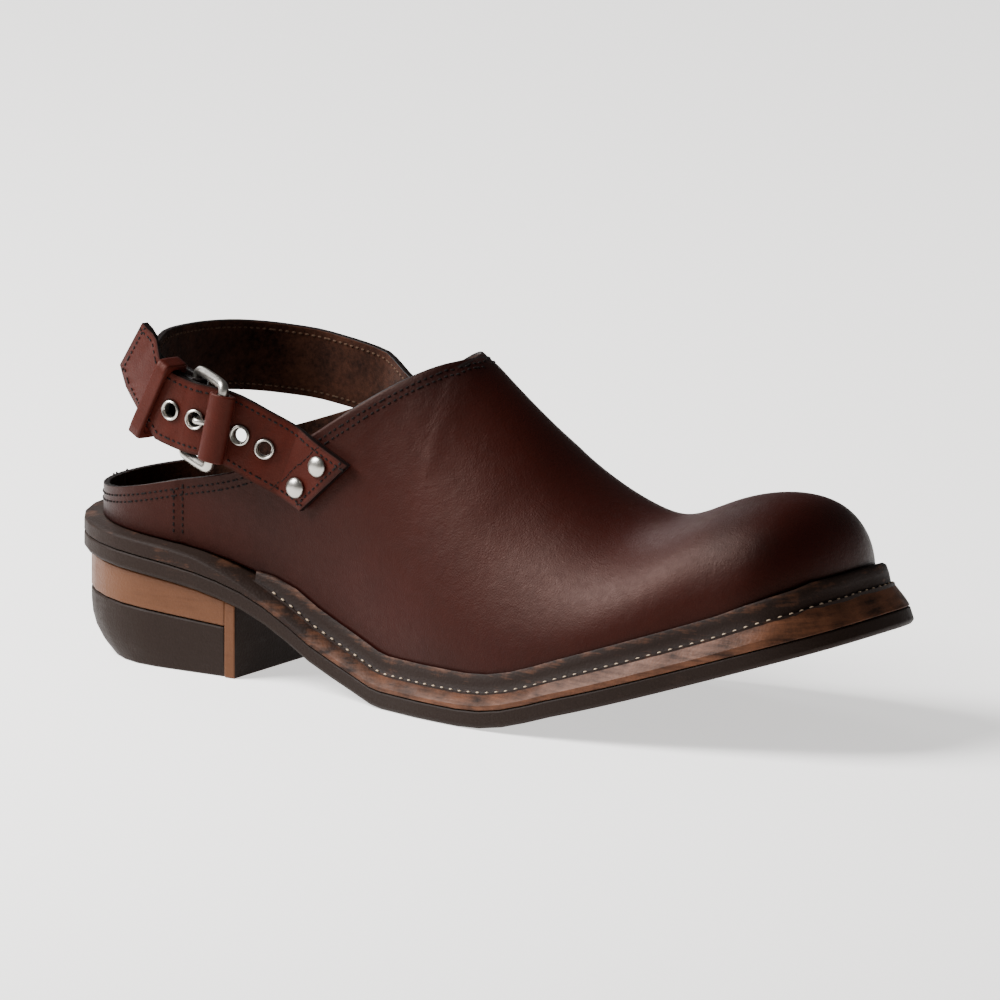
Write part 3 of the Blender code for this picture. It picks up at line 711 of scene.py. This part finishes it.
def share_point(along, up):
    """Side-view point of the upper from shares of its length and height."""
    return Vector((UPPER_LOW.x + along * UPPER_SIZE.x, UPPER_LOW.z + up * UPPER_SIZE.z))


def crease_depth(point):
    """How deep the creases press in at a point of the upper."""
    here = Vector((point.x, point.z))
    total = 0.0
    for side, x0, z0, x1, z1, depth, width in CREASES:
        if point.y * side < 0:
            continue
        start, stop = share_point(x0, z0), share_point(x1, z1)
        run = stop - start
        along = (here - start).dot(run) / run.length_squared
        across = (here - start - run * along).length / (width * MM)
        if across > CREASE_SIDES:
            continue
        ends = exp(-((along - 0.5) / CREASE_ENDS) ** 4)
        total += depth * MM * exp(-across ** 2) * ends
    return total


def polish_and_shade(point, to_edge, to_foot):
    """How dark the leather was polished at a point, with the painted shadow under the strap added.
    """
    here = Vector((point.x, point.z))
    dark = 0.0
    for away, (strength, reach) in ((to_edge, EDGE_POLISH), (to_foot, FOOT_POLISH)):
        dark += strength * exp(-away / reach)
    for along, up, radius, strength in SPOTS:
        away = (here - share_point(along, up)).length / (radius * MM)
        dark += strength * exp(-away ** 2)
    return dark


def nearest(lines):
    """Function that gives the distance from a point to the nearest of some lines."""
    points = [point for line in lines for point, _ in steps(line, BORDER_STEP)]
    polygons = [(i, i, i) for i in range(len(points))]
    tree = BVHTree.FromPolygons(points, polygons)
    return lambda point: tree.find_nearest(point)[3]


class CLOG_OT_upper(bpy.types.Operator):
    """Makes the upper with its creases, burnishing, a painted shadow under the strap, suede lining
    and rows of stitches
    """

    bl_idname = "clog.upper"
    bl_label = "Upper"

    def execute(self, context):
        sizes = context.scene.clog_sizes
        tints = context.scene.clog_colours
        mesh = cad_copy("upper")
        for index, facing in ((1, -1), (2, 1)):
            for face in region(mesh, (0, facing, 0), (0, -1, 0)):
                face.material_index = index
        mesh = subdivided(mesh, levels=2)
        self.ease_apex(mesh)
        self.shape(mesh)
        outside = {face for face in mesh.faces if face.material_index == 1}
        loops = borders(outside)[:2]
        top, foot = sorted(loops, key=lambda line: -sum(p.z for p in line) / len(line))
        skin = surface(outside)
        threads = bmesh.new()
        for distance in (sizes.first_row, sizes.second_row):
            sew(threads, beside(skin, top, distance), sizes.stitch_pitch, sizes.stitch_thick)
        self.sew_seam(threads, skin, sizes)
        finish(threads, "upper_stitches",
               [plain_material("waxed_thread", tints.thread, 0.8)])
        to_edge, to_foot = nearest([top]), nearest([foot])
        # Darkness from polish near the borders and in spots, and a painted shadow under the strap
        mark = mesh.verts.layers.float.new("polish_and_shade")
        for vert in mesh.verts:
            vert[mark] = polish_and_shade(vert.co, to_edge(vert.co), to_foot(vert.co))
        finish(mesh, "upper_leather", [
            plain_material("painted_edge", tints.cut_edge, 0.5),
            leather_material("burnished_calf", tints.leather, tints.leather_deep, "polish_and_shade"),
            suede_material("suede_lining", tints.suede),
        ], ["upper"], sharp=50)
        return {"FINISHED"}

    def sew_seam(self, threads, skin, sizes):
        """Double row down the counter seam on both sides."""
        for side in (-1, 1):
            for shift in (-0.5, 0.5):
                x = COUNTER_SEAM + shift * sizes.seam_gap
                row = []
                for k in range(SEAM_POINTS):
                    z = UPPER_LOW.z + k * MM
                    hit = skin.ray_cast(Vector((x, side, z)), Vector((0, -side, 0)))
                    if hit[0] and hit[0].y * side > 0:
                        row.append((hit[0], hit[1]))
                # The wall's lowest and highest points stay bare
                sew(threads, row[1:-2], sizes.stitch_pitch, sizes.stitch_thick)

    def ease_apex(self, mesh):
        """Smooths the leather round the throat's apex, most near the apex itself."""
        apex = max((vert.co for vert in mesh.verts), key=lambda point: point.z).copy()
        for k in range(APEX_ROUNDS):
            reach = (APEX_REACH - k) * MM
            near = [vert for vert in mesh.verts if (vert.co - apex).length < reach]
            bmesh.ops.smooth_vert(mesh, verts=near, factor=0.5, use_axis_x=True,
                                  use_axis_y=True, use_axis_z=True)
        mesh.normal_update()

    def shape(self, mesh):
        """Presses the creases into both faces of the wall."""
        lining = {vert for face in mesh.faces if face.material_index == 2
                  for vert in face.verts}
        moves = []
        for vert in mesh.verts:
            depth = crease_depth(vert.co)
            if depth:
                moves.append((vert, vert.normal * (depth if vert in lining else -depth)))
        for vert, move in moves:
            vert.co += move
        mesh.normal_update()


class CLOG_OT_sole(bpy.types.Operator):
    """Makes the sole's layers, the welt with its stitches, the heel and the insole"""

    bl_idname = "clog.sole"
    bl_label = "Sole and heel"

    def execute(self, context):
        sizes = context.scene.clog_sizes
        tints = context.scene.clog_colours
        edge = edge_material("waxed_edge", tints.rub, tints.edge, band=0.62, spread=0.42,
                             reach=RUB_GROWS)
        rubber = edge_material("outsole_rubber", [c * 2.0 for c in tints.outsole],
                               tints.outsole, band=0.9, spread=0.2)
        block = edge_material("heel_block_stack", tints.edge, tints.outsole, band=0.1,
                              spread=0.5)
        lift = edge_material("natural_lift", tints.lift, [c * 0.75 for c in tints.lift],
                             band=0.5, spread=2.0)
        welt = edge_material("welt_leather", tints.rub, tints.welt, band=0.95, spread=0.35,
                             amount=0.16)
        midsole, table = bevelled(marked(cad_copy("midsole")), sizes.bevel_width)
        finish(midsole, "midsole_dressed", [edge], ["midsole"], sharp=48,
               bevel=sizes.edge_round)
        parts = (
            # node, slot, material
            ("outsole", "outsole", rubber),
            ("heel_block", "outsole", block),
            ("heel_lift", "lift", lift),
        )
        for node, slot, made in parts:
            mesh = marked(cad_copy(node))
            if node.startswith("heel"):
                close_front(mesh)
            finish(mesh, node + "_dressed", [made], [node],
                   bevel=sizes.edge_round)
        breast = marked(cad_copy("heel_breast"))
        for face in breast.faces:
            face.material_index = 1 if face.normal.x > FACES_IT else 0
        finish(breast, "heel_breast_dressed", [lift, block], ["heel_breast"],
               bevel=sizes.edge_round)
        insole = cad_copy("insole")
        finish(insole, "insole_suede", [suede_material("suede_sock", tints.suede)],
               ["insole"], bevel=sizes.edge_round)
        self.make_welt(sizes, tints, table, welt)
        return {"FINISHED"}

    def make_welt(self, sizes, tints, table, material):
        """Storm welt: a stitched groove inside the bevel, and a rib against the upper."""
        node = cad_copy("welt")
        pairs = welt_sections(node)
        node.free()
        mesh = bmesh.new()
        mark = mesh.verts.layers.float.new("rise")
        rows = []
        groove = []
        for outer, inner in pairs:
            out = Vector((outer.x - inner.x, outer.y - inner.y, 0)).normalized()
            edge = outer + out * EDGE_BEVEL
            wide = (edge.xy - inner.xy).length
            thick = min(table, key=lambda row: (row[0] - edge.xy).length)[1]
            drop = BEVEL_DROP * thick * eased(outer.x, *CUT_GROWS)
            rib = sizes.rib_height * (RIB_START + (1 - RIB_START) * eased(outer.x, *RIB_GROWS))
            start = sizes.bevel_width
            rest = wide - start - GROOVE
            profile = (
                # inward from the sole's edge, above the midsole, mark
                (start - 0.5 * MM, -drop - WELT_DEPTH, 0.0),
                (start - 0.2 * MM, -drop - 0.05 * MM, 0.2),
                (start + GROOVE_MIDDLE, -drop - 0.40 * MM, 0.0),
                (start + GROOVE, -drop + 0.10 * MM, 0.3),
                (start + GROOVE + 0.14 * rest, 0.45 * (rib - drop), 0.6),
                (start + GROOVE + 0.34 * rest, 0.80 * rib, 1.0),
                (start + GROOVE + 0.62 * rest, rib, 0.9),
                (start + GROOVE + rest, 0.9 * rib, 0.3),
                (start + GROOVE + rest, -drop - WELT_DEPTH, 0.0),
            )
            row = []
            for inward, height, rise in profile:
                point = edge - out * inward
                point.z = outer.z + height
                vert = mesh.verts.new(point)
                vert[mark] = rise
                row.append(vert)
            rows.append(row)
            low = edge - out * (start + GROOVE_MIDDLE)
            low.z = outer.z - drop - 0.15 * MM
            groove.append((low, (out + Vector((0, 0, 1))).normalized()))
        for a, b in zip(rows, rows[1:]):
            for k in range(len(a)):
                mesh.faces.new((a[k], b[k], b[k - 1], a[k - 1]))
        mesh.faces.new(rows[0])
        mesh.faces.new(list(reversed(rows[-1])))
        bmesh.ops.recalc_face_normals(mesh, faces=mesh.faces)
        finish(mesh, "welt_dressed", [material], ["welt"], sharp=60)
        line = [point for point, _ in groove]
        fine = []
        for point, _ in steps(line, GROOVE_STEP):
            normal = min(groove, key=lambda row: (row[0] - point).length)[1]
            fine.append((point, normal))
        threads = bmesh.new()
        sew(threads, fine[BARE_POINTS:-BARE_POINTS], sizes.welt_pitch, sizes.welt_thick, cover=0.45)
        finish(threads, "welt_stitches",
               [plain_material("welt_thread", tints.welt_thread, 0.7)])


class CLOG_OT_straps(bpy.types.Operator):
    """Makes the heel strap, the punched tab, the keeper and the buckle's sleeve"""

    bl_idname = "clog.straps"
    bl_label = "Straps"

    def execute(self, context):
        sizes = context.scene.clog_sizes
        tints = context.scene.clog_colours
        edge = plain_material("strap_edge", tints.cut_edge, 0.5)
        # Its deep tone is the painted shade at the straps' padded borders
        leather = leather_material("strap_calf", tints.strap_leather, tints.leather_deep,
                                   "polish_and_shade")
        suede = suede_material("strap_suede", tints.suede)
        outer = bmesh.new()
        inner = bmesh.new()
        rows = (
            # node, the way its face looks, where it lies, material, stitches
            ("strap_tab", (0, -1, 0), (0, -1, 0), 1, outer),
            ("strap_tab", (0, 1, 0), (0, 1, 0), 1, None),
            ("strap_back", (-1, 0, 0), (-1, 0, 0), 1, outer),
            ("strap_back", (1, 0, 0), (-1, 0, 0), 2, inner),
        )
        meshes = {node: cad_copy(node) for node in ("strap_tab", "strap_back")}
        self.lift_tail(meshes["strap_tab"])
        for node, facing, towards, index, threads in rows:
            faces = region(meshes[node], facing, towards)
            for face in faces:
                face.material_index = index
            if index == 1:
                self.pad(meshes[node], faces)
            if threads:
                skin = surface(faces)
                line = beside(skin, borders(faces)[0], sizes.strap_row)
                sew(threads, line, sizes.stitch_pitch, sizes.stitch_thick)
                if node == "strap_tab":
                    self.overlay_line(threads, skin)
        for node, mesh in meshes.items():
            finish(mesh, node + "_leather", [edge, leather, suede], [node],
                   bevel=sizes.edge_round)
        finish(outer, "strap_stitches",
               [plain_material("strap_thread", tints.thread, 0.6)])
        finish(inner, "lining_stitches",
               [plain_material("lining_thread", tints.strap_thread, 0.7)])
        finish(cad_copy("buckle_sleeve"), "buckle_sleeve_leather", [leather],
               ["buckle_sleeve"], bevel=0.7 * MM, segments=4)
        finish(subdivided(cad_copy("keeper"), levels=3, hold=0.62), "keeper_leather",
               [leather], ["keeper"], sharp=60)
        return {"FINISHED"}

    def pad(self, mesh, faces):
        """Rounds a face of a strap towards its border, and darkens the border as painted shade."""
        mark = mesh.verts.layers.float.get("polish_and_shade") or mesh.verts.layers.float.new("polish_and_shade")
        to_rim = nearest(borders(faces))
        ring = bmesh.ops.inset_region(mesh, faces=in_order(faces), thickness=PAD_INSET,
                                      depth=PAD_RISE, use_even_offset=False)["faces"]
        faces.update(ring)
        # The border is darker: painted shade of the rounded face
        for vert in {vert for face in faces for vert in face.verts}:
            vert[mark] = PAD_SHADE if to_rim(vert.co) < PAD_BORDER else 0.0
        mesh.normal_update()

    def overlay_line(self, mesh, skin):
        """Edge of the patch that the rivets hold, beside their line."""
        first, second = (sum(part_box(node), Vector()) / 2 for node in ("rivet_1", "rivet_2"))
        row = []
        for k in range(PATCH_POINTS):
            place = second.lerp(first, PATCH_FROM + k * PATCH_STEP) + Vector(PATCH_SHIFT)
            near, normal, _, far = skin.find_nearest(place)
            if far < PATCH_REACH and abs(near.y - place.y) > 0.7 * far:
                row.append((near, normal))
        sew(mesh, row, pitch=0.9 * MM, thick=0.35 * MM, cover=1.1)

    def lift_tail(self, mesh):
        """Turns the tab's free end up behind the keeper, as the strap's bend leaves it."""
        keeper = Vector(KEEPER_SEEN) * MM
        for vert in mesh.verts:
            here = Vector((vert.co.dot(VIEW_RIGHT), vert.co.dot(VIEW_UP)))
            past = (here - keeper).dot(Vector(TAIL_WAY))
            share = eased(past, *TAIL_GROWS)
            up = TAIL_RISE + TAIL_SLOPE * (here.y - keeper.y)
            vert.co += share * (up * VIEW_UP + TAIL_BACK * VIEW_RIGHT)
        mesh.normal_update()


class CLOG_OT_hardware(bpy.types.Operator):
    """Makes the buckle, its prong, the eyelets and the rivets"""

    bl_idname = "clog.hardware"
    bl_label = "Hardware"

    def execute(self, context):
        tints = context.scene.clog_colours
        nickel = metal_material("tumbled_nickel", tints.nickel)
        for node in sorted(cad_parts):
            if node in ("buckle_frame", "buckle_prong"):
                mesh = cad_copy(node)
                for vert in mesh.verts:
                    vert.co += vert.normal * WIRE_GROWTH
                finish(mesh, node + "_metal", [nickel], [node], sharp=60, levels=2)
            elif node.startswith("eyelet") or node.startswith("rivet"):
                mesh = cad_copy(node)
                low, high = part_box(node)
                middle = (low + high) / 2
                grow = EYELET_GROWTH if node.startswith("eyelet") else RIVET_GROWTH
                bmesh.ops.scale(mesh, vec=(grow, grow, grow), verts=mesh.verts,
                                space=Matrix.Translation(-middle))
                finish(mesh, node + "_metal", [nickel], [node],
                       sharp=60, levels=1)
        return {"FINISHED"}


class CLOG_OT_stage(bpy.types.Operator):
    """Makes the floor, the lights and the camera"""

    bl_idname = "clog.stage"
    bl_label = "Stage"

    def execute(self, context):
        tints = context.scene.clog_colours
        mesh = bmesh.new()
        bmesh.ops.create_grid(mesh, x_segments=1, y_segments=1, size=FLOOR_HALF)
        data = bpy.data.meshes.new("floor")
        mesh.to_mesh(data)
        mesh.free()
        made, _, shader, _ = new_material("studio_floor")
        shader.inputs["Base Color"].default_value = rgba(tints.floor)
        shader.inputs["Roughness"].default_value = 0.8
        shader.inputs["Emission Color"].default_value = rgba(tints.floor)
        shader.inputs["Emission Strength"].default_value = FLOOR_GLOW
        data.materials.append(made)
        floor = bpy.data.objects.new("floor", data)
        context.scene.collection.objects.link(floor)

        target = VIEW_RIGHT * VIEW_MIDDLE[0] + VIEW_UP * VIEW_MIDDLE[1]
        lens = bpy.data.cameras.new("camera")
        lens.type = "ORTHO"
        lens.ortho_scale = VIEW_WIDTH
        camera = bpy.data.objects.new("camera", lens)
        context.scene.collection.objects.link(camera)
        camera.location = target + VIEW_BACK * CAMERA_DISTANCE
        camera.rotation_mode = "QUATERNION"
        camera.rotation_quaternion = (-VIEW_BACK).to_track_quat("-Z", "Y")
        context.scene.camera = camera

        for name, direction, distance, size, power in LIGHTS:
            lamp = bpy.data.lights.new(name, "AREA")
            lamp.shape = "SQUARE"
            lamp.size = size
            lamp.energy = power
            light = bpy.data.objects.new(name, lamp)
            context.scene.collection.objects.link(light)
            way_out = Vector(direction).normalized()
            light.location = Vector(LIGHTS_AT) + way_out * distance
            light.rotation_mode = "QUATERNION"
            light.rotation_quaternion = (-way_out).to_track_quat("-Z", "Y")
        world = bpy.data.worlds.new("studio")
        world.use_nodes = True
        sky = world.node_tree.nodes["Background"]
        sky.inputs["Color"].default_value = SKY_TINT
        sky.inputs["Strength"].default_value = SKY_STRENGTH
        context.scene.world = world
        return {"FINISHED"}


class CLOG_PT_panel(bpy.types.Panel):
    """Sidebar panel with the clog's sizes, colours and pieces"""

    bl_label = "Slingback clog"
    bl_idname = "CLOG_PT_panel"
    bl_space_type = "VIEW_3D"
    bl_region_type = "UI"
    bl_category = "Clog"

    def draw(self, context):
        for group in (context.scene.clog_sizes, context.scene.clog_colours):
            for name in group.__annotations__:
                self.layout.prop(group, name)
        for operator in OPERATORS:
            self.layout.operator(operator.bl_idname)


OPERATORS = (CLOG_OT_upper, CLOG_OT_sole, CLOG_OT_straps, CLOG_OT_hardware, CLOG_OT_stage)
CLASSES = (ClogSizes, ClogColours, *OPERATORS, CLOG_PT_panel)


def register():
    for made in CLASSES:
        bpy.utils.register_class(made)
    bpy.types.Scene.clog_sizes = bpy.props.PointerProperty(type=ClogSizes)
    bpy.types.Scene.clog_colours = bpy.props.PointerProperty(type=ClogColours)


def unregister():
    del bpy.types.Scene.clog_colours
    del bpy.types.Scene.clog_sizes
    for made in reversed(CLASSES):
        bpy.utils.unregister_class(made)


def main():
    register()
    bpy.ops.clog.upper()
    bpy.ops.clog.sole()
    bpy.ops.clog.straps()
    bpy.ops.clog.hardware()
    bpy.ops.clog.stage()


if __name__ == "__main__":
    main()
